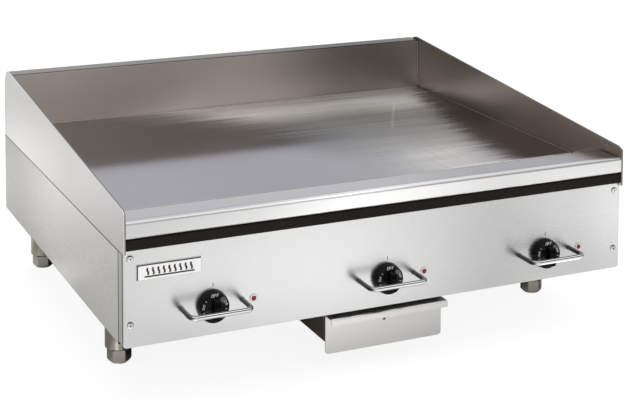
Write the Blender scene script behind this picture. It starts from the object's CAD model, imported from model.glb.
import math

import bmesh
import bpy
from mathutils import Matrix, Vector


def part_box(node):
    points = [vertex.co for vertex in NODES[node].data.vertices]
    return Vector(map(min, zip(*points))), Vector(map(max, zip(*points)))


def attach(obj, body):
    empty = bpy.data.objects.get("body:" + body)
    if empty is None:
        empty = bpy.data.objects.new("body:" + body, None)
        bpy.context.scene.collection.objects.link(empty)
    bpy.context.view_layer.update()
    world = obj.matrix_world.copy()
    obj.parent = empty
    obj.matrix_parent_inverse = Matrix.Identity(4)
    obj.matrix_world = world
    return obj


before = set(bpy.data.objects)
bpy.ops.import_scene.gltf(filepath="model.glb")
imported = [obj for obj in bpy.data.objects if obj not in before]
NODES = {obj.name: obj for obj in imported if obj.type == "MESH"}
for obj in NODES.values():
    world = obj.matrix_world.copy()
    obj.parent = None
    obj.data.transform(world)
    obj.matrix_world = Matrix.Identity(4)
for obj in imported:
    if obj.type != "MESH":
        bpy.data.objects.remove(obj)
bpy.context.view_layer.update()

MM = 0.001
SIDES = ("left", "right")
ZONES = ("left", "centre", "right")
CORNERS = [f"{end}_{side}" for end in ("front", "rear") for side in SIDES]


def low(node):
    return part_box(node)[0]


def high(node):
    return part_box(node)[1]


def middle(node):
    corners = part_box(node)
    return (corners[0] + corners[1]) / 2


GRIP_DEPTH = 15.5 * MM       # how far the grips stand in front of their dials
DIAL_FACE_Y = low("left_knob").y + GRIP_DEPTH
PLATE_TOP_Z = high("griddle_plate").z


# ---------------------------------------------------------------- shader helpers
class Look:
    """A node material with the few calls that the looks below need."""

    def __init__(self, name, colour, roughness, metallic=0.0, **settings):
        self.material = bpy.data.materials.new(name)
        self.material.use_nodes = True
        self.tree = self.material.node_tree
        self.surface = self.tree.nodes["Principled BSDF"]
        self.set("Base Color", (*colour, 1.0))
        self.set("Roughness", roughness)
        self.set("Metallic", metallic)
        for socket, value in settings.items():
            self.set(socket.replace("_", " "), value)
        self.place = self.add("ShaderNodeTexCoord").outputs["Object"]

    def set(self, socket, value):
        self.surface.inputs[socket].default_value = value

    def add(self, kind, **settings):
        node = self.tree.nodes.new(kind)
        for name, value in settings.items():
            setattr(node, name, value)
        return node

    def link(self, output, target):
        self.tree.links.new(output, target)

    def drive(self, output, socket):
        self.link(output, self.surface.inputs[socket])

    def stretched(self, scale):
        """Object coordinates scaled by a different amount along each axis."""
        node = self.add("ShaderNodeMapping")
        node.inputs["Scale"].default_value = scale
        self.link(self.place, node.inputs["Vector"])
        return node.outputs["Vector"]

    def noise(self, scale, detail=3.0, roughness=0.6):
        node = self.add("ShaderNodeTexNoise")
        node.inputs["Scale"].default_value = 1.0
        node.inputs["Detail"].default_value = detail
        node.inputs["Roughness"].default_value = roughness
        self.link(self.stretched(scale), node.inputs["Vector"])
        return node.outputs["Fac"]

    def axis(self, name):
        """Object coordinate along one axis."""
        node = self.add("ShaderNodeSeparateXYZ")
        self.link(self.place, node.inputs["Vector"])
        return node.outputs[name]

    def remap(self, value, low_in, high_in, low_out=0.0, high_out=1.0, smooth=False):
        """The value carried from one range to another and held at its ends."""
        node = self.add("ShaderNodeMapRange", interpolation_type="SMOOTHSTEP" if smooth else "LINEAR")
        names = ("From Min", "From Max", "To Min", "To Max")
        for name, number in zip(names, (low_in, high_in, low_out, high_out)):
            node.inputs[name].default_value = number
        self.link(value, node.inputs["Value"])
        return node.outputs["Result"]

    def maths(self, operation, first, second):
        node = self.add("ShaderNodeMath", operation=operation)
        for socket, value in zip(node.inputs, (first, second)):
            if isinstance(value, (int, float)):
                socket.default_value = value
            else:
                self.link(value, socket)
        return node.outputs["Value"]

    def band(self, value, start, end, soft):
        """One between the start and the end, nought outside, with soft ends."""
        rise = self.remap(value, start - soft, start + soft, smooth=True)
        fall = self.remap(value, end + soft, end - soft, smooth=True)
        return self.times(rise, fall)

    def facing(self, name):
        """Component of the surface's own direction."""
        node = self.add("ShaderNodeSeparateXYZ")
        self.link(self.add("ShaderNodeNewGeometry").outputs["True Normal"], node.inputs["Vector"])
        return node.outputs[name]

    def crevices(self, distance, darkest):
        """Darker in corners and beside things that stand on the surface."""
        node = self.add("ShaderNodeAmbientOcclusion", samples=8)
        node.inputs["Distance"].default_value = distance
        return self.remap(node.outputs["AO"], 0.35, 1.0, darkest, 1.0)

    def shaded(self, colour, *factors):
        """Colour multiplied by every factor."""
        node = self.add("ShaderNodeVectorMath", operation="SCALE")
        self.link(colour, node.inputs[0])
        product = factors[0]
        for factor in factors[1:]:
            product = self.times(product, factor)
        self.link(product, node.inputs["Scale"])
        return node.outputs["Vector"]

    def plus(self, first, second):
        return self.maths("ADD", first, second)

    def times(self, first, second):
        return self.maths("MULTIPLY", first, second)

    def minus(self, first, second):
        return self.maths("SUBTRACT", first, second)

    def size_of(self, value):
        return self.maths("ABSOLUTE", value, 0)

    def distance_from(self, point):
        node = self.add("ShaderNodeVectorMath", operation="DISTANCE")
        self.link(self.place, node.inputs[0])
        node.inputs[1].default_value = point
        return node.outputs["Value"]

    def mix(self, factor, first, second):
        """Colour that runs from the first to the second, each a colour or an output, with the factor."""
        node = self.add("ShaderNodeMix", data_type="RGBA")
        for socket, value in zip(("A", "B"), (first, second)):
            if isinstance(value, tuple):
                node.inputs[socket].default_value = (*value, 1.0)
            else:
                self.link(value, node.inputs[socket])
        self.link(factor, node.inputs["Factor"])
        return node.outputs["Result"]

    def bump(self, height, distance, strength):
        node = self.add("ShaderNodeBump")
        node.inputs["Distance"].default_value = distance
        node.inputs["Strength"].default_value = strength
        self.link(height, node.inputs["Height"])
        self.drive(node.outputs["Normal"], "Normal")

    def spread_along(self, direction, amount):
        """Highlights stretch along the direction, across the grain."""
        node = self.add("ShaderNodeCombineXYZ")
        for socket, value in zip(node.inputs, direction):
            socket.default_value = value
        self.set("Anisotropic", amount)
        self.drive(node.outputs["Vector"], "Tangent")


def tint(colour, amount):
    return tuple(channel * amount for channel in colour)


def dress(material, *nodes):
    for name in nodes:
        mesh = NODES[name].data
        mesh.materials.clear()
        mesh.materials.append(material)


# ---------------------------------------------------------------- metals
GRAIN = {"x": (3, 500, 500), "y": (500, 3, 500)}
ALONG_Y, ALONG_Z = (0, 1, 0), (0, 0, 1)
GRAIN_CONTRAST = 0.018
SHEET_STRETCH = 0.6


def steel_sheet(name, colour, roughness, grain, spread):
    """Sheet steel with fine grain lines along one axis, faint smears and a stretched highlight."""
    look = Look(name, colour, roughness, metallic=1.0)
    lines = look.noise(GRAIN[grain], detail=2.0)
    smears = look.noise((3, 3, 3), detail=4.0)
    blend = look.plus(look.times(lines, 0.65), look.times(smears, 0.35))
    base = look.mix(blend, tint(colour, 1 - GRAIN_CONTRAST), tint(colour, 1 + GRAIN_CONTRAST))
    change = look.plus(look.remap(lines, 0.3, 0.7, -0.01, 0.01), look.remap(smears, 0.3, 0.7, -0.02, 0.02))
    look.drive(look.plus(change, roughness), "Roughness")
    look.bump(lines, 0.005 * MM, 0.15)
    look.spread_along(spread, SHEET_STRETCH)
    return look, base


def steel_finish(*arguments):
    look, base = steel_sheet(*arguments)
    look.drive(base, "Base Color")
    return look.material


def dark_line(look, axis, start, end):
    """Dark seam or bend between two places along one axis."""
    return look.remap(look.band(look.axis(axis), start, end, 0.3 * MM), 0, 1, 1.0, 0.06)


def front_steel():
    """Control panel: brighter in the middle and at the right end, dark in its side bends."""
    look, base = steel_sheet("front_steel", (0.68, 0.68, 0.69), 0.26, "x", ALONG_Z)
    across = look.axis("X")
    face = low("front_control_panel").y
    bend = look.band(look.axis("Y"), face + 0.8 * MM, face + 3.0 * MM, 0.5 * MM)
    bend = look.remap(bend, 0, 1, 1.0, 0.25)
    right_end = look.remap(across, 0.36, 0.45, 1.0, 1.12, smooth=True)
    brighter = look.plus(1.0, look.times(look.band(across, -0.22, 0.05, 0.12), 0.06))
    duller = look.plus(1.0, look.times(look.band(across, 0.14, 0.26, 0.07), -0.07))
    turned = look.remap(look.size_of(look.facing("X")), 0.4, 0.9, 1.0, 0.72, smooth=True)
    colour = look.shaded(base, look.crevices(2.0 * MM, 0.5), bend, right_end, brighter, duller, turned)
    look.drive(colour, "Base Color")
    return look.material


def nose_steel():
    """Folded nose: brightest in the middle, with a dark bend along its right half."""
    look, base = steel_sheet("nose_steel", (0.76, 0.76, 0.77), 0.24, "x", ALONG_Z)
    across = look.axis("X")
    right = look.remap(across, -0.40, -0.05, 0.84, 1.08, smooth=True)
    brighter = look.plus(1.0, look.times(look.band(across, -0.15, 0.12, 0.12), 0.20))
    right_half = look.remap(across, -0.10, 0.10, smooth=True)
    bend = look.times(look.band(look.facing("Z"), 0.25, 0.92, 0.1), right_half)
    bend = look.remap(bend, 0, 1, 1.0, 0.55)
    look.drive(look.shaded(base, look.crevices(3 * MM, 0.3), right, brighter, bend), "Base Color")
    return look.material


def side_steel():
    """Side panels, with the dark seam under the splash and at the front edge."""
    node = "left_side_panel"
    look, base = steel_sheet("side_steel", (0.63, 0.62, 0.60), 0.28, "y", ALONG_Z)
    seam = dark_line(look, "Z", high(node).z - 1.9 * MM, high(node).z + 1 * MM)
    front = dark_line(look, "Y", low(node).y - 1 * MM, low(node).y + 2.4 * MM)
    foot = dark_line(look, "Z", low(node).z - 1 * MM, low(node).z + 0.8 * MM)
    rear = look.remap(look.axis("Y"), -0.02, 0.38, 1.0, 0.58, smooth=True)
    low_edge = look.remap(look.axis("Z"), 0.13, 0.22, 1.06, 1.0, smooth=True)
    colour = look.shaded(base, seam, front, foot, rear, low_edge, look.crevices(4 * MM, 0.3))
    look.drive(colour, "Base Color")
    return look.material


def splash_steel():
    """Tapered side walls: bright outside, heat-darkened on the cooking side and along the cut edge."""
    node = "left_splash"
    look, base = steel_sheet("splash_steel", (0.66, 0.655, 0.65), 0.26, "y", ALONG_Z)
    outer = high("right_splash").x
    inside = look.remap(look.size_of(look.axis("X")), outer - 1.6 * MM, outer - 2.6 * MM, smooth=True)
    stained = look.mix(look.noise((3, 6, 9), detail=4.0), (0.56, 0.50, 0.465), (0.68, 0.61, 0.565))
    rim = look.remap(look.axis("X"), low(node).x + 1.4 * MM, low(node).x + 0.9 * MM)
    edge = look.maths("MAXIMUM", look.remap(look.facing("Z"), 0.5, 0.9, smooth=True),
                      look.remap(look.facing("Y"), -0.6, -0.9, smooth=True))
    top = look.plus(1.0, look.times(edge, look.remap(rim, 0, 1, -0.70, 0.35)))
    along = look.remap(look.axis("Y"), -0.10, 0.38, 0.83, 1.12, smooth=True)
    base = look.shaded(base, along)
    warmer = look.remap(look.axis("Y"), -0.10, -0.34, 1.0, 1.28, smooth=True)
    colour = look.mix(inside, base, look.shaded(stained, warmer))
    seam = dark_line(look, "Z", low(node).z - 1 * MM, low(node).z + 0.5 * MM)
    rear = dark_line(look, "Y", high(node).y - 3.2 * MM, high(node).y + 1 * MM)
    look.drive(look.shaded(colour, seam, rear, top, look.crevices(5 * MM, 0.35)), "Base Color")
    return look.material


def back_steel():
    """Rear splash, browned towards its right end, with a dark bend. It looks darker in reflections."""
    look, base = steel_sheet("back_steel", (0.56, 0.53, 0.505), 0.30, "x", ALONG_Z)
    right = look.remap(look.axis("X"), 0.02, 0.30, 1.03, 0.38, smooth=True)
    right = look.times(right, look.remap(look.axis("X"), 0.33, 0.45, 1.0, 1.5, smooth=True))
    flange = look.remap(look.facing("Z"), 0.10, 0.5, smooth=True)
    base = look.mix(flange, base, (0.205, 0.205, 0.185))
    bend = look.remap(look.band(look.facing("Z"), 0.25, 0.90, 0.1), 0, 1, 1.0, 0.45)
    left = look.remap(look.axis("X"), -0.42, -0.12, 1.26, 1.0, smooth=True)
    mirrored = look.remap(look.add("ShaderNodeLightPath").outputs["Is Glossy Ray"], 0, 1, 1.0, 0.80)
    low_down = look.remap(look.axis("Z"), PLATE_TOP_Z + 75 * MM, PLATE_TOP_Z + 5 * MM, smooth=True)
    low_middle = look.times(look.band(look.axis("X"), -0.10, 0.12, 0.09), low_down)
    low_middle = look.remap(low_middle, 0, 1, 1.0, 0.80)
    colour = look.shaded(base, left, right, bend, low_middle, mirrored, look.crevices(4 * MM, 0.8))
    look.drive(colour, "Base Color")
    return look.material


def ledge_steel():
    """Trough and its ledge, duller towards the right."""
    look, base = steel_sheet("ledge_steel", (0.56, 0.55, 0.525), 0.20, "x", ALONG_Y)
    right = look.remap(look.axis("X"), -0.02, 0.24, 1.0, 0.76, smooth=True)
    look.drive(look.shaded(base, right, look.crevices(5 * MM, 0.3)), "Base Color")
    return look.material


def drawer_steel():
    """Bright front of the grease drawer."""
    look, base = steel_sheet("drawer_steel", (0.80, 0.80, 0.80), 0.32, "x", ALONG_Z)
    right = look.remap(look.axis("X"), -0.1, 0.1, 1.03, 0.90)
    look.drive(look.shaded(base, right, look.crevices(4 * MM, 0.3)), "Base Color")
    return look.material


def pan_steel():
    """Grease pan, darkened by heat and grease."""
    look, base = steel_sheet("pan_steel", (0.31, 0.26, 0.22), 0.40, "y", ALONG_Z)
    look.drive(look.shaded(base, look.crevices(10 * MM, 0.3)), "Base Color")
    return look.material


def worked_area(look, across, along):
    """One on the ground part of the plate and nought on the mirror-like parts, with a ragged border.

    Towards the rear the left border curves to the left, and the right one runs straight and gets crisper.
    """
    ragged = look.remap(look.noise((2, 55, 1), detail=5.0), 0.3, 0.7, -0.035, 0.035)
    depth = look.times(look.maths("MAXIMUM", look.plus(along, -0.035), 0.0), 1 / 0.355)
    left_edge = look.plus(look.times(look.maths("POWER", depth, 1.25), -0.33), 0.065)
    left_gap = look.plus(look.minus(across, left_edge), ragged)
    right_edge = look.plus(look.times(along, 0.19), 0.398)
    right_gap = look.plus(look.minus(across, right_edge), look.times(ragged, 0.7))
    sharper = look.remap(along, -0.10, 0.36, 6.0, 14.0)
    return look.times(look.remap(left_gap, -0.10, 0.16, smooth=True),
                      look.remap(look.times(right_gap, sharper), 0.2, -0.8, smooth=True))


def wiping_marks(look, across, along):
    """Two short streaks that slant back and to the right."""
    slant = look.minus(look.times(across, 0.88), look.times(along, 0.474))
    left_mark = look.times(look.band(slant, 0.1700, 0.1732, 0.003), look.band(along, 0.07, 0.27, 0.04))
    right_mark = look.times(look.band(slant, 0.2530, 0.2562, 0.003), look.band(along, 0.16, 0.28, 0.03))
    return look.plus(left_mark, right_mark)


def cooking_steel():
    """Plate: mirror-like at the left and beside the right splash, with grinding lines between."""
    cool, warm = (0.355, 0.35, 0.355), (0.49, 0.48, 0.455)
    look = Look("cooking_steel", cool, 0.2, metallic=1.0)
    across, along = look.axis("X"), look.axis("Y")
    worked = worked_area(look, across, along)
    front = look.remap(along, 0.0, -0.15, smooth=True)

    streaks = look.noise((2.5, 150, 1), detail=5.0, roughness=0.75)
    fine = look.noise((8, 900, 1), detail=2.0)
    hatch = look.remap(look.noise((240, 5, 1), detail=3.0), 0.3, 0.7, -0.10, 0.10)
    grinding = look.remap(streaks, 0.3, 0.7, -0.16, 0.16)
    grinding = look.plus(grinding, look.remap(fine, 0.3, 0.7, -0.04, 0.04))
    grinding = look.plus(grinding, look.times(hatch, front))

    rear_glare = look.times(look.remap(along, 0.16, 0.30, smooth=True), 1.50)
    level = look.plus(look.remap(along, 0.12, -0.22, 0.62, 1.15, smooth=True), rear_glare)
    level = look.plus(level, look.times(wiping_marks(look, across, along), 0.35))
    level = look.plus(level, look.times(look.remap(across, 0.0, 0.20, 0.0, 0.42, smooth=True), front))

    tone = look.plus(look.times(look.plus(look.plus(level, grinding), -1.0), worked), 1.0)
    tone = look.times(tone, look.plus(1.0, look.times(grinding, 0.15)))
    tone = look.times(tone, look.remap(across, 0.22, 0.38, 1.0, 1.28, smooth=True))
    tone = look.times(tone, look.remap(across, -0.36, -0.12, 1.0, 0.90, smooth=True))
    stained = look.times(look.remap(along, 0.015, 0.055, smooth=True), look.minus(1.0, worked))
    tone = look.times(tone, look.remap(stained, 0, 1, 1.0, 0.66))
    look.drive(look.shaded(look.mix(worked, cool, warm), tone, look.crevices(4 * MM, 0.75)), "Base Color")

    polish = look.remap(worked, 0, 1, 0.10, 0.40)
    rough_lines = look.times(look.remap(streaks, 0.3, 0.7, -0.09, 0.09), worked)
    look.drive(look.plus(polish, rough_lines), "Roughness")
    look.bump(look.plus(streaks, fine), 0.015 * MM, 0.4)
    look.spread_along(ALONG_Y, 0.4)
    return look.material


def galvanised_steel():
    """Zinc-coated sheet with crystal spangle."""
    look = Look("zinc_steel", (0.46, 0.47, 0.48), 0.38, metallic=1.0)
    spangle = look.add("ShaderNodeTexVoronoi")
    spangle.inputs["Scale"].default_value = 90.0
    look.link(look.place, spangle.inputs["Vector"])
    tone = look.add("ShaderNodeSeparateColor")
    look.link(spangle.outputs["Color"], tone.inputs["Color"])
    look.drive(look.mix(tone.outputs["Red"], (0.38, 0.39, 0.40), (0.55, 0.56, 0.57)), "Base Color")
    look.drive(look.remap(tone.outputs["Green"], 0, 1, 0.30, 0.46), "Roughness")
    return look.material


def bright_plating(name, colour, roughness, grain=(60, 60, 60)):
    """Chrome or nickel with faint ripples and wiping marks."""
    look = Look(name, colour, roughness, metallic=1.0)
    wipes = look.noise(grain, detail=3.0)
    look.drive(look.remap(wipes, 0.3, 0.75, roughness * 0.7, roughness * 1.6), "Roughness")
    look.bump(wipes, 0.02 * MM, 0.3)
    return look, look.mix(wipes, tint(colour, 0.94), tint(colour, 1.05))


def plated_finish(*arguments):
    look, base = bright_plating(*arguments)
    look.drive(look.shaded(base, look.crevices(3 * MM, 0.2)), "Base Color")
    return look.material


def chrome():
    """Guard rods, banded where they mirror dark and light parts of the room."""
    look, base = bright_plating("chrome", (0.85, 0.85, 0.86), 0.06)
    up = look.facing("Z")
    dark = look.plus(look.band(up, 0.36, 0.64, 0.05), look.band(up, 0.82, 0.98, 0.03))
    dark = look.plus(dark, look.times(look.band(up, -1.1, -0.86, 0.04), 0.7))
    sideways = look.remap(look.size_of(look.facing("X")), 0.35, 0.75, 0.0, 0.97, smooth=True)
    bands = look.minus(1.0, look.times(look.maths("MAXIMUM", dark, sideways), 0.97))
    look.drive(look.shaded(base, bands), "Base Color")
    return look.material


def screw_plating():
    """Bright screw heads with a dark upper rim."""
    look, base = bright_plating("screw_plating", (0.74, 0.74, 0.74), 0.12)
    upper = look.plus(look.facing("Z"), look.times(look.facing("X"), 0.6))
    dark = look.remap(upper, 0.10, 0.45, 1.0, 0.06, smooth=True)
    look.drive(look.shaded(base, dark, look.crevices(1.5 * MM, 0.0)), "Base Color")
    return look.material


VIEW_RIGHT = (0.912, -0.411)     # direction to the right of the camera, in plan


def leg_plating():
    """Legs and feet: a bright strip, a dark right side and a dark ring where the two meet."""
    look, base = bright_plating("nickel", (0.70, 0.66, 0.575), 0.12, (90, 90, 6))
    turn = look.plus(look.times(look.facing("X"), VIEW_RIGHT[0]), look.times(look.facing("Y"), VIEW_RIGHT[1]))
    rear = look.remap(look.axis("Y"), -0.02, 0.02)
    front_strip = look.times(look.band(turn, -0.12, 0.05, 0.12), look.minus(1.0, rear))
    rear_strip = look.times(look.remap(turn, -0.35, -0.95, smooth=True), rear)
    strip = look.remap(look.plus(front_strip, rear_strip), 0, 1, 0.36, 0.74)
    dark = look.remap(turn, 0.25, 0.50, 1.0, 0.11, smooth=True)
    leg_end = low("front_left_leg").z
    ring = look.band(look.axis("Z"), leg_end - 2.2 * MM, leg_end + 0.3 * MM, 0.5 * MM)
    look.drive(look.shaded(base, strip, dark, look.remap(ring, 0, 1, 1.0, 0.35)), "Base Color")
    return look.material


def heated_sheath():
    """Element sheath with the straw and blue tints of heated steel."""
    look = Look("element_sheath", (0.16, 0.14, 0.12), 0.45, metallic=1.0)
    patches = look.noise((25, 25, 25), detail=4.0)
    look.drive(look.mix(patches, (0.20, 0.14, 0.09), (0.11, 0.12, 0.15)), "Base Color")
    look.drive(look.remap(patches, 0.3, 0.7, 0.35, 0.6), "Roughness")
    return look.material


# ---------------------------------------------------------------- plastics, paint and the rest
def add_ripple(look):
    look.bump(look.noise((350, 350, 350), detail=2.0), 0.02 * MM, 0.4)


def gloss_coat(name, colour, roughness, **settings):
    """Moulded plastic or enamel with a faint ripple in its gloss."""
    look = Look(name, colour, roughness, **settings)
    clouds = look.noise((40, 40, 40), detail=3.0)
    look.drive(look.mix(clouds, tint(colour, 0.85), tint(colour, 1.15)), "Base Color")
    look.drive(look.remap(clouds, 0.3, 0.7, roughness * 0.8, roughness * 1.3), "Roughness")
    add_ripple(look)
    return look.material


# Sideways and upward distance from the knob's axis in mm, radius in mm, colour.
DIAL_SHEENS = [
    (13.5, 11.5, 7.0, (0.17, 0.17, 0.18)),
    (-9.5, -8.0, 9.0, (0.045, 0.043, 0.034)),
]


def knob_plastic(zone):
    """Black dial with soft grey sheens on its face, and a blacker grip."""
    look = Look(f"{zone}_knob_plastic", (0.004, 0.004, 0.004), 0.12, Specular_IOR_Level=0.08)
    face = look.times(look.remap(look.axis("Y"), DIAL_FACE_Y - 1.5 * MM, DIAL_FACE_Y - 0.5 * MM),
                      look.remap(look.facing("Y"), -0.8, -0.95))
    sheen = look.remap(look.noise((45, 45, 45), detail=1.0), 0.40, 0.65, 0.15, 1.0, smooth=True)
    black = look.mix(look.times(face, sheen), (0.003, 0.003, 0.003), (0.026, 0.025, 0.024))
    centre = middle(f"{zone}_knob")
    for dx, dz, radius, colour in DIAL_SHEENS:
        offset = look.distance_from((centre.x + dx * MM, DIAL_FACE_Y, centre.z + dz * MM))
        spot = look.remap(offset, radius * MM, radius * 0.3 * MM, smooth=True)
        black = look.mix(look.times(spot, face), black, colour)
    look.drive(black, "Base Color")
    add_ripple(look)
    return look.material


def lamp_lens():
    """Translucent red lens with small facets."""
    look = Look("lamp_red", (0.32, 0.004, 0.03), 0.12, Subsurface_Weight=0.4)
    facets = look.add("ShaderNodeTexVoronoi")
    facets.inputs["Scale"].default_value = 900.0
    look.link(look.place, facets.inputs["Vector"])
    edges = facets.outputs["Distance"]
    look.drive(look.mix(edges, (0.42, 0.008, 0.045), (0.20, 0.003, 0.02)), "Base Color")
    look.bump(edges, 0.1 * MM, 0.4)
    return look.material


def woven(name, dark, light, scale):
    """Fibre blanket or braided sleeve."""
    look = Look(name, light, 0.8)
    fibres = look.noise(scale, detail=5.0, roughness=0.7)
    look.drive(look.mix(look.remap(fibres, 0.3, 0.7), dark, light), "Base Color")
    look.bump(fibres, 0.8 * MM, 0.7)
    return look.material


def dress_all():
    """Every CAD node gets its finish."""
    zones = {part: [f"{zone}_{part}" for zone in ZONES]
             for part in ("knob_guard", "pilot_lamp", "heating_element", "thermostat", "thermostat_shaft")}
    dress(front_steel(), "front_control_panel")
    dress(nose_steel(), "front_nose")
    dress(ledge_steel(), "grease_trough")
    dress(side_steel(), "left_side_panel", "right_side_panel")
    dress(splash_steel(), "left_splash", "right_splash")
    dress(back_steel(), "back_splash")
    dress(drawer_steel(), "drawer_front")
    dress(pan_steel(), "drawer_pan")
    dress(cooking_steel(), "griddle_plate")
    dress(galvanised_steel(), "rear_panel", "bottom_pan", "drain_chute", "front_cross_rail",
          "rear_cross_rail", "left_plate_rail", "right_plate_rail", "insulation_tray", "left_drawer_guide",
          "right_drawer_guide", "element_clamp_bars")
    dress(plated_finish("zinc_fixings", (0.62, 0.62, 0.61), 0.16), "clamp_studs", "guard_nuts", "leg_nuts",
          *zones["thermostat_shaft"])
    dress(screw_plating(), "control_panel_screws", "rear_panel_screws")
    dress(chrome(), *zones["knob_guard"])
    dress(steel_finish("bezel_steel", (0.84, 0.83, 0.84), 0.36, "x", ALONG_Z), "lamp_bezels")
    dress(leg_plating(), *[f"{corner}_{piece}" for corner in CORNERS for piece in ("leg", "foot")])
    dress(heated_sheath(), *zones["heating_element"])
    dress(plated_finish("copper", (0.62, 0.30, 0.17), 0.28), "temperature_sensors")
    dress(gloss_coat("black_enamel", (0.009, 0.006, 0.005), 0.16, Specular_IOR_Level=0.12), "trim_strip")
    for zone in ZONES:
        dress(knob_plastic(zone), f"{zone}_knob")
    glow = {"Emission_Color": (1, 1, 1, 1), "Emission_Strength": 0.18}
    dress(gloss_coat("white_enamel", (0.84, 0.84, 0.84), 0.35, **glow), "badge_plate")
    dress(gloss_coat("switch_plastic", (0.035, 0.035, 0.037), 0.5), "terminal_block", *zones["thermostat"])
    dress(lamp_lens(), *zones["pilot_lamp"])
    dress(woven("ceramic_fibre", (0.62, 0.60, 0.54), (0.86, 0.85, 0.80), (160, 160, 500)),
          "insulation_blanket")
    dress(woven("wire_sleeve", (0.03, 0.03, 0.03), (0.16, 0.15, 0.14), (900, 900, 900)),
          "wiring_harness")


# ---------------------------------------------------------------- printed marks
INK_THICKNESS = 0.15 * MM


def flat_mark(name, outlines, place, material, body):
    """Thin printed shapes in the XZ plane around the place, raised towards the front."""
    mesh = bmesh.new()
    for outline in outlines:
        front = [mesh.verts.new((x * MM, -INK_THICKNESS, z * MM)) for x, z in outline]
        back = [mesh.verts.new((x * MM, 0, z * MM)) for x, z in outline]
        mesh.faces.new(front)
        mesh.faces.new(back[::-1])
        for first, second, third, fourth in zip(front, front[1:] + front[:1], back[1:] + back[:1], back):
            mesh.faces.new((second, first, fourth, third))
    bmesh.ops.recalc_face_normals(mesh, faces=mesh.faces)
    data = bpy.data.meshes.new(name)
    mesh.to_mesh(data)
    mesh.free()
    data.materials.append(material)
    mark = bpy.data.objects.new(name, data)
    mark.location = place
    bpy.context.scene.collection.objects.link(mark)
    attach(mark, body)


def stroke(x0, z0, x1, z1, width):
    """Straight stroke as a four-cornered outline."""
    run, rise = x1 - x0, z1 - z0
    length = math.hypot(run, rise)
    dx, dz = -rise / length * width / 2, run / length * width / 2
    return [(x0 + dx, z0 + dz), (x0 - dx, z0 - dz), (x1 - dx, z1 - dz), (x1 + dx, z1 + dz)]


STROKES = {
    "O": [(0.0, 0.2, 0.0, 0.8), (0.7, 0.2, 0.7, 0.8), (0.0, 0.8, 0.2, 1.0), (0.5, 1.0, 0.7, 0.8),
          (0.2, 1.0, 0.5, 1.0), (0.0, 0.2, 0.2, 0.0), (0.5, 0.0, 0.7, 0.2), (0.2, 0.0, 0.5, 0.0)],
    "F": [(0.0, 0.0, 0.0, 1.0), (0.0, 1.0, 0.6, 1.0), (0.0, 0.52, 0.5, 0.52)],
    "2": [(0.0, 0.8, 0.2, 1.0), (0.2, 1.0, 0.5, 1.0), (0.5, 1.0, 0.65, 0.8), (0.65, 0.8, 0.0, 0.0),
          (0.0, 0.0, 0.65, 0.0)],
    "3": [(0.0, 0.9, 0.2, 1.0), (0.2, 1.0, 0.5, 1.0), (0.5, 1.0, 0.62, 0.75), (0.62, 0.75, 0.3, 0.52),
          (0.3, 0.52, 0.64, 0.28), (0.64, 0.28, 0.45, 0.0), (0.45, 0.0, 0.1, 0.0), (0.1, 0.0, 0.0, 0.12)],
    "4": [(0.5, 0.0, 0.5, 1.0), (0.5, 1.0, 0.0, 0.35), (0.0, 0.35, 0.7, 0.35)],
    "0": [(0.0, 0.2, 0.0, 0.8), (0.6, 0.2, 0.6, 0.8), (0.0, 0.8, 0.3, 1.0), (0.3, 1.0, 0.6, 0.8),
          (0.0, 0.2, 0.3, 0.0), (0.3, 0.0, 0.6, 0.2)],
}


def lettering(word, radius, angle, size, width):
    """Strokes of a word on a dial, its foot towards the axis, at an angle clockwise from the top."""
    turn = math.radians(angle)
    pitch = 0.95 * size
    outlines = []
    for index, letter in enumerate(word):
        left = (index - len(word) / 2) * pitch + 0.15 * size
        for x0, z0, x1, z1 in STROKES[letter]:
            points = [(left + x0 * size, radius + z0 * size), (left + x1 * size, radius + z1 * size)]
            turned = [(x * math.cos(turn) + z * math.sin(turn), z * math.cos(turn) - x * math.sin(turn))
                      for x, z in points]
            outlines.append(stroke(*turned[0], *turned[1], width))
    return outlines


def tick(radius, length, angle, width):
    turn = math.radians(angle)
    return stroke(radius * math.sin(turn), radius * math.cos(turn),
                  (radius + length) * math.sin(turn), (radius + length) * math.cos(turn), width)


def dial_marks():
    """Off word, temperatures and ticks on every dial."""
    ink = gloss_coat("dial_ink", (0.90, 0.90, 0.90), 0.5)
    outlines = lettering("OFF", 17.7, 0, 4.6, 0.75)
    for word, angle in (("200", -78), ("300", 70), ("400", 135)):
        outlines += lettering(word, 17.6, angle, 3.2, 0.42)
    outlines += [tick(17.4, 3.6, angle, 0.5) for angle in (-108, -50, 100, 165)]
    for zone in ZONES:
        knob = f"{zone}_knob"
        place = (middle(knob).x, DIAL_FACE_Y - 0.02 * MM, middle(knob).z)
        flat_mark(f"{zone}_dial_marks", outlines, place, ink, knob)


INDEX_RISE = 33.5 * MM       # of the index lines above the knobs' axes


def panel_marks():
    """Index line above every dial."""
    ink = gloss_coat("panel_ink", (0.03, 0.03, 0.035), 0.5)
    line = stroke(0, -3.0, 0, 3.0, 1.0)
    for zone in ZONES:
        axis = middle(f"{zone}_knob")
        place = (axis.x + 1.4 * MM, low("front_control_panel").y, axis.z + INDEX_RISE)
        flat_mark(f"{zone}_index_mark", [line], place, ink, "chassis")


BADGE_BORDER = 2.0           # widths in mm
HEAT_WAVES = 9
WAVE_WIDTH = 3.0
BASE_WIDTH = 2.2


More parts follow.
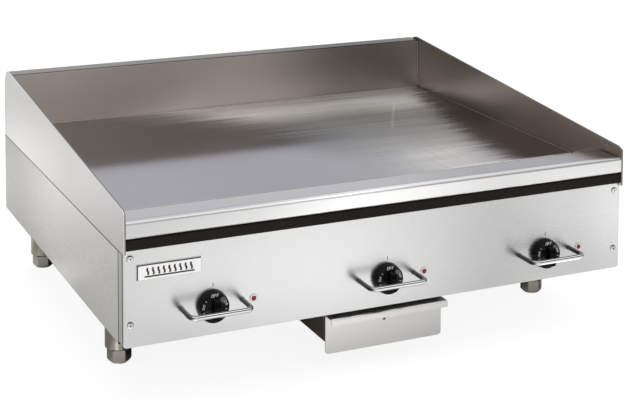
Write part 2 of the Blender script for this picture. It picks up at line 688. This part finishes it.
def badge_marks():
    """Black edge lines and a plain pictogram of rising heat on the badge."""
    ink = gloss_coat("badge_ink", (0.012, 0.012, 0.014), 0.4)
    corner, far = low("badge_plate"), high("badge_plate")
    width, height = (far.x - corner.x) / MM, (far.z - corner.z) / MM
    inset = BADGE_BORDER / 2
    outlines = [stroke(inset, 0.2, inset, height - 0.2, BADGE_BORDER),
                stroke(0, height - inset, width, height - inset, BADGE_BORDER),
                stroke(width * 0.12, 4.3, width * 0.90, 4.3, BASE_WIDTH)]
    for index in range(HEAT_WAVES):
        x = width * (0.17 + index * 0.085)
        bends = [(x + 1.1 * math.sin(step * math.pi / 4), 7.0 + step * 1.35) for step in range(9)]
        outlines += [stroke(*first, *second, WAVE_WIDTH) for first, second in zip(bends, bends[1:])]
    flat_mark("badge_marks", outlines, corner, ink, "chassis")


def bead(name, points, radius, material):
    """Round-section weld bead through the points."""
    curve = bpy.data.curves.new(name, "CURVE")
    curve.dimensions = "3D"
    curve.bevel_depth = radius
    curve.bevel_resolution = 2
    curve.use_fill_caps = True
    line = curve.splines.new("POLY")
    line.points.add(len(points) - 1)
    for point, place in zip(line.points, points):
        point.co = (*place, 1)
    shape = bpy.data.objects.new(name, curve)
    bpy.context.scene.collection.objects.link(shape)
    mesh = bpy.data.meshes.new_from_object(shape)
    bpy.data.objects.remove(shape)
    mesh.materials.append(material)
    weld = bpy.data.objects.new(name, mesh)
    bpy.context.scene.collection.objects.link(weld)
    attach(weld, "chassis")


def weld_beads():
    """Dressed welds where the splashes meet each other and the plate."""
    metal = plated_finish("weld_metal", (0.50, 0.46, 0.43), 0.3, (300, 300, 300))
    back_y = low("back_splash").y
    corner_top = high("back_splash").z - 3 * MM
    front_y = low("griddle_plate").y + 2 * MM
    left_x, right_x = low("griddle_plate").x, high("griddle_plate").x
    for side, x in (("left", left_x + 0.8 * MM), ("right", right_x - 0.8 * MM)):
        corner_foot = (x, back_y - 0.6 * MM, PLATE_TOP_Z + 2 * MM)
        corner_head = (x, back_y - 0.6 * MM, corner_top)
        bead(f"{side}_corner_bead", [corner_foot, corner_head], 1.3 * MM, metal)
        seam_front = (x, front_y, PLATE_TOP_Z)
        seam_back = (x, back_y - 1 * MM, PLATE_TOP_Z)
        bead(f"{side}_plate_bead", [seam_front, seam_back], 1.1 * MM, metal)
    ends = [(x, back_y - 0.5 * MM, PLATE_TOP_Z) for x in (left_x + 2 * MM, right_x - 2 * MM)]
    bead("rear_plate_bead", ends, 1.1 * MM, metal)


# ---------------------------------------------------------------- studio
FLOOR_HALF = 30.0

# Place on the floor, radius and strength of each pool of light.
POOLS = [
    (0.00, -0.95, 0.58, 0.62),
    (0.60, -1.35, 0.50, 0.40),
    (0.90, -0.92, 0.34, 0.75),
    (-0.90, 1.05, 0.75, 0.40),
    (-0.46, -0.44, 0.16, 1.30),
    (0.40, -0.40, 0.16, 1.30),
    (-0.44, -0.25, 0.12, 0.80),
    (0.36, -0.25, 0.12, 0.60),
    (-0.47, 0.27, 0.12, 0.60),
]

# Direction of each card, the angles in degrees where it is whole and where it is gone, and its colour.
CARDS = [
    ((0.0, 0.0, 1.0), 25, 60, (1.30, 1.29, 1.27)),
    ((0.41, 0.87, 0.27), 18, 40, (0.80, 0.80, 0.86)),
    ((-0.55, 0.80, 0.22), 14, 42, (0.14, 0.12, 0.10)),
    ((0.45, -0.85, 0.25), 15, 45, (0.62, 0.57, 0.54)),
]

ROOM = (0.78, 0.78, 0.79)


def mixed_shader(tree, factor, first, second):
    node = tree.nodes.new("ShaderNodeMixShader")
    tree.links.new(factor, node.inputs["Fac"])
    tree.links.new(first, node.inputs[1])
    tree.links.new(second, node.inputs[2])
    return node.outputs["Shader"]


def floor():
    """Pale paper floor, evenly lit to the lens. Reflections see pools of light and the body's shade on it."""
    corners = [(x * FLOOR_HALF, y * FLOOR_HALF, 0) for x, y in ((-1, -1), (1, -1), (1, 1), (-1, 1))]
    mesh = bpy.data.meshes.new("floor")
    mesh.from_pydata(corners, [], [(0, 1, 2, 3)])
    plane = bpy.data.objects.new("floor", mesh)
    bpy.context.scene.collection.objects.link(plane)
    paper = Look("floor_paper", (0.16, 0.16, 0.16), 0.9)
    paper.set("Emission Color", (1, 1, 1, 1))
    paper.set("Emission Strength", 0.89)
    mesh.materials.append(paper.material)
    tree = paper.tree
    seen = paper.surface.outputs["BSDF"]
    bounced = tree.nodes.new("ShaderNodeBsdfPrincipled")
    under = paper.times(paper.band(paper.axis("X"), -0.36, 0.42, 0.05),
                        paper.band(paper.axis("Y"), -0.17, 0.40, 0.05))
    paper.link(paper.mix(under, (0.78, 0.78, 0.77), (0.03, 0.03, 0.03)), bounced.inputs["Base Color"])
    bounced.inputs["Roughness"].default_value = 0.9
    glow = 0.0
    for x, y, radius, strength in POOLS:
        pool = paper.remap(paper.distance_from((x, y, 0)), radius, radius * 0.2, 0.0, strength, smooth=True)
        glow = paper.plus(glow, pool)
    bounced.inputs["Emission Color"].default_value = (1, 1, 1, 1)
    paper.link(glow, bounced.inputs["Emission Strength"])
    to_lens = paper.add("ShaderNodeLightPath").outputs["Is Camera Ray"]
    both = mixed_shader(tree, to_lens, bounced.outputs["BSDF"], seen)
    paper.link(both, tree.nodes["Material Output"].inputs["Surface"])


def studio():
    """Soft studio: a light room with large cards that only the reflections see."""
    sky = bpy.data.worlds.new("studio")
    bpy.context.scene.world = sky
    sky.use_nodes = True
    tree = sky.node_tree
    background = tree.nodes["Background"]
    ray = tree.nodes.new("ShaderNodeTexCoord").outputs["Generated"]
    colour = None
    for direction, inner, outer, card in CARDS:
        dot = tree.nodes.new("ShaderNodeVectorMath")
        dot.operation = "DOT_PRODUCT"
        tree.links.new(ray, dot.inputs[0])
        dot.inputs[1].default_value = Vector(direction).normalized()
        mask = tree.nodes.new("ShaderNodeMapRange")
        mask.interpolation_type = "SMOOTHSTEP"
        mask.inputs["From Min"].default_value = math.cos(math.radians(outer))
        mask.inputs["From Max"].default_value = math.cos(math.radians(inner))
        tree.links.new(dot.outputs["Value"], mask.inputs["Value"])
        blend = tree.nodes.new("ShaderNodeMix")
        blend.data_type = "RGBA"
        tree.links.new(mask.outputs["Result"], blend.inputs["Factor"])
        if colour is None:
            blend.inputs["A"].default_value = (*ROOM, 1)
        else:
            tree.links.new(colour, blend.inputs["A"])
        blend.inputs["B"].default_value = (*card, 1)
        colour = blend.outputs["Result"]
    path = tree.nodes.new("ShaderNodeLightPath")
    seen = tree.nodes.new("ShaderNodeMix")
    seen.data_type = "RGBA"
    tree.links.new(path.outputs["Is Camera Ray"], seen.inputs["Factor"])
    tree.links.new(colour, seen.inputs["A"])
    seen.inputs["B"].default_value = (1, 1, 1, 1)
    tree.links.new(seen.outputs["Result"], background.inputs["Color"])


CAMERA_PLACE = (-1.11305, -2.52707, 1.01229)
CAMERA_TURN = [math.radians(degrees) for degrees in (85.826, -0.114, -24.258)]
CAMERA_LENS = 86.467
LENS_SHIFT_X = 0.0008       # shifts of the lens, as shares of the picture's width
LENS_DROP = -0.541


def camera():
    """Camera with a dropped lens, which keeps uprights parallel. Set to quaternions, it loses the drop."""
    data = bpy.data.cameras.new("camera")
    data.lens = CAMERA_LENS
    data.shift_x = LENS_SHIFT_X
    holder = bpy.data.objects.new("camera", data)
    holder.location = CAMERA_PLACE
    holder.rotation_mode = "XYZ"
    holder.rotation_euler = CAMERA_TURN
    bpy.context.scene.collection.objects.link(holder)
    bpy.context.scene.camera = holder
    drop = data.driver_add("shift_y")
    drop.driver.type = "SUM"
    mode = drop.driver.variables.new()
    mode.targets[0].id = holder
    mode.targets[0].data_path = "rotation_mode"          # nought for quaternions, one for XYZ angles
    drop.modifiers[0].coefficients = (0.0, LENS_DROP)


dress_all()
dial_marks()
panel_marks()
badge_marks()
weld_beads()
floor()
studio()
camera()
bpy.context.scene.view_settings.view_transform = "Standard"
